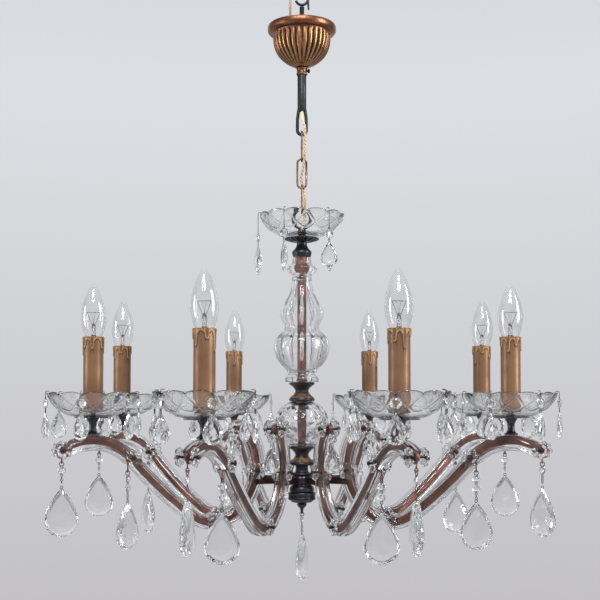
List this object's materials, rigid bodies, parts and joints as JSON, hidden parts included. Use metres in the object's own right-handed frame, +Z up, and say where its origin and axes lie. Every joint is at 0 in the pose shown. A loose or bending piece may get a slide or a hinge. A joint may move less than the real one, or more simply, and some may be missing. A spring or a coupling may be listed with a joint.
{
  "type": "chandelier",
  "caption": "Glass-clad branching chandelier with drip dishes, candle lamps, crystal drops, chain and ceiling canopy.",
  "frame": {"origin": "centre of the hole in the hanging eye at the top", "axes": "+Z up along the column, +Y along the hole of the hanging eye, away from the viewer; +X to the viewer's right"},
  "size_m": [0.6905, 0.6927, 0.8611],
  "materials": {
    "dark_iron": "blue-black oxide, satin",
    "terminal_plastic": "moulded, matte",
    "canopy_copper": "antiqued copper brass, fluted",
    "aged_brass": "aged, semi-gloss",
    "chain_brass": "aged, semi-gloss",
    "flex_sleeve": "twisted gold textile",
    "arm_copper": "brown copper, satin",
    "blued_bronze": "dark bronze with rubbed edges",
    "holder_plastic": "moulded, matte",
    "sleeve_gilt": "gilt bronze paint over moulded wax drips",
    "bulb_glass": "clear blown",
    "crystal": "cut and polished",
    "dish_glass": "pressed, cut rim",
    "clear_glass": "pressed and ribbed"
  },
  "bodies": {
    "hanger": {"suspension_stem": "dark_iron", "terminal_block": "terminal_plastic", "flex_top": "flex_sleeve"},
    "canopy": {"canopy": "canopy_copper", "canopy_collar": "aged_brass"},
    "canopy_screw": {"canopy_screw": "dark_iron"},
    "link_1": {"chain_link_1": "chain_brass", "flex_a": "flex_sleeve"},
    "link_2": {"chain_link_2": "chain_brass", "flex_b": "flex_sleeve"},
    "link_3": {"chain_link_3": "chain_brass", "flex_c": "flex_sleeve"},
    "frame": {"top_eye": "blued_bronze", "centre_tube": "arm_copper", "upper_dish": "dish_glass", "top_spool": "blued_bronze", "neck_glass": "clear_glass", "baluster_glass": "clear_glass", "upper_spool": "blued_bronze", "ball_glass": "clear_glass", "lower_spool": "blued_bronze", "clamp_nut": "blued_bronze", "arm_hub": "blued_bronze", "hub_cover": "blued_bronze", "finial": "blued_bronze", "flex_end": "flex_sleeve", "arm_1": "arm_copper", "arm_2": "arm_copper", "arm_3": "arm_copper", "arm_4": "arm_copper", "arm_5": "arm_copper", "arm_6": "arm_copper", "arm_7": "arm_copper", "arm_8": "arm_copper", "arm_glass": "clear_glass", "rosettes": "clear_glass", "rosette_pins": "aged_brass", "candle_posts": "blued_bronze", "dishes": "dish_glass", "lamp_holders": "holder_plastic", "candle_sleeves": "sleeve_gilt", "bulbs": "bulb_glass", "small_drops": "crystal"},
    "centre_drop": {"centre_drop": "crystal"},
    "tip_drop_1": {"tip_drop_1": "crystal"},
    "tip_drop_2": {"tip_drop_2": "crystal"},
    "tip_drop_3": {"tip_drop_3": "crystal"},
    "tip_drop_4": {"tip_drop_4": "crystal"},
    "tip_drop_5": {"tip_drop_5": "crystal"},
    "tip_drop_6": {"tip_drop_6": "crystal"},
    "tip_drop_7": {"tip_drop_7": "crystal"},
    "tip_drop_8": {"tip_drop_8": "crystal"},
    "joint_drop_1": {"joint_drop_1": "crystal"},
    "joint_drop_2": {"joint_drop_2": "crystal"},
    "joint_drop_3": {"joint_drop_3": "crystal"},
    "joint_drop_4": {"joint_drop_4": "crystal"},
    "joint_drop_5": {"joint_drop_5": "crystal"},
    "joint_drop_6": {"joint_drop_6": "crystal"},
    "joint_drop_7": {"joint_drop_7": "crystal"},
    "joint_drop_8": {"joint_drop_8": "crystal"}
  },
  "joints": [
    {"name": "canopy_slide", "type": "slide", "parent": "hanger", "child": "canopy", "axis": [0, 0, 1], "range_m": [-0.035, 0.02]},
    {"name": "canopy_screw_turn", "type": "hinge", "parent": "canopy", "child": "canopy_screw", "pos_m": [0.0075, 0, -0.1068], "axis": [1, 0, 0], "range_deg": [0, 720]},
    {"name": "link_1_swing", "type": "hinge", "parent": "hanger", "child": "link_1", "pos_m": [0, 0, -0.2005], "axis": [1, 0, 0], "range_deg": [-25, 25]},
    {"name": "link_2_swing", "type": "hinge", "parent": "link_1", "child": "link_2", "pos_m": [0, 0, -0.2392], "axis": [0, 1, 0], "range_deg": [-25, 25]},
    {"name": "link_3_swing", "type": "hinge", "parent": "link_2", "child": "link_3", "pos_m": [0, 0, -0.2789], "axis": [1, 0, 0], "range_deg": [-25, 25]},
    {"name": "frame_swing", "type": "hinge", "parent": "link_3", "child": "frame", "pos_m": [0, 0, -0.3186], "axis": [0, 1, 0], "range_deg": [-25, 25]},
    {"name": "centre_drop_swing", "type": "hinge", "parent": "frame", "child": "centre_drop", "pos_m": [0, 0, -0.7461], "axis": [1, 0, 0], "range_deg": [-45, 45]},
    {"name": "tip_drop_1_swing", "type": "hinge", "parent": "frame", "child": "tip_drop_1", "pos_m": [0.31597, 0.13088, -0.6675], "axis": [0.9239, 0.3827, 0], "range_deg": [-45, 45]},
    {"name": "tip_drop_2_swing", "type": "hinge", "parent": "frame", "child": "tip_drop_2", "pos_m": [0.13088, 0.31597, -0.6675], "axis": [0.3827, 0.9239, 0], "range_deg": [-45, 45]},
    {"name": "tip_drop_3_swing", "type": "hinge", "parent": "frame", "child": "tip_drop_3", "pos_m": [-0.13088, 0.31597, -0.6675], "axis": [-0.3827, 0.9239, 0], "range_deg": [-45, 45]},
    {"name": "tip_drop_4_swing", "type": "hinge", "parent": "frame", "child": "tip_drop_4", "pos_m": [-0.31597, 0.13088, -0.6675], "axis": [-0.9239, 0.3827, 0], "range_deg": [-45, 45]},
    {"name": "tip_drop_5_swing", "type": "hinge", "parent": "frame", "child": "tip_drop_5", "pos_m": [-0.31597, -0.13088, -0.6675], "axis": [-0.9239, -0.3827, 0], "range_deg": [-45, 45]},
    {"name": "tip_drop_6_swing", "type": "hinge", "parent": "frame", "child": "tip_drop_6", "pos_m": [-0.13088, -0.31597, -0.6675], "axis": [-0.3827, -0.9239, 0], "range_deg": [-45, 45]},
    {"name": "tip_drop_7_swing", "type": "hinge", "parent": "frame", "child": "tip_drop_7", "pos_m": [0.13088, -0.31597, -0.6675], "axis": [0.3827, -0.9239, 0], "range_deg": [-45, 45]},
    {"name": "tip_drop_8_swing", "type": "hinge", "parent": "frame", "child": "tip_drop_8", "pos_m": [0.31597, -0.13088, -0.6675], "axis": [0.9239, -0.3827, 0], "range_deg": [-45, 45]},
    {"name": "joint_drop_1_swing", "type": "hinge", "parent": "frame", "child": "joint_drop_1", "pos_m": [0.23438, 0.09708, -0.6815], "axis": [0.9239, 0.3827, 0], "range_deg": [-45, 45]},
    {"name": "joint_drop_2_swing", "type": "hinge", "parent": "frame", "child": "joint_drop_2", "pos_m": [0.09708, 0.23438, -0.6815], "axis": [0.3827, 0.9239, 0], "range_deg": [-45, 45]},
    {"name": "joint_drop_3_swing", "type": "hinge", "parent": "frame", "child": "joint_drop_3", "pos_m": [-0.09708, 0.23438, -0.6815], "axis": [-0.3827, 0.9239, 0], "range_deg": [-45, 45]},
    {"name": "joint_drop_4_swing", "type": "hinge", "parent": "frame", "child": "joint_drop_4", "pos_m": [-0.23438, 0.09708, -0.6815], "axis": [-0.9239, 0.3827, 0], "range_deg": [-45, 45]},
    {"name": "joint_drop_5_swing", "type": "hinge", "parent": "frame", "child": "joint_drop_5", "pos_m": [-0.23438, -0.09708, -0.6815], "axis": [-0.9239, -0.3827, 0], "range_deg": [-45, 45]},
    {"name": "joint_drop_6_swing", "type": "hinge", "parent": "frame", "child": "joint_drop_6", "pos_m": [-0.09708, -0.23438, -0.6815], "axis": [-0.3827, -0.9239, 0], "range_deg": [-45, 45]},
    {"name": "joint_drop_7_swing", "type": "hinge", "parent": "frame", "child": "joint_drop_7", "pos_m": [0.09708, -0.23438, -0.6815], "axis": [0.3827, -0.9239, 0], "range_deg": [-45, 45]},
    {"name": "joint_drop_8_swing", "type": "hinge", "parent": "frame", "child": "joint_drop_8", "pos_m": [0.23438, -0.09708, -0.6815], "axis": [0.9239, -0.3827, 0], "range_deg": [-45, 45]}
  ]
}
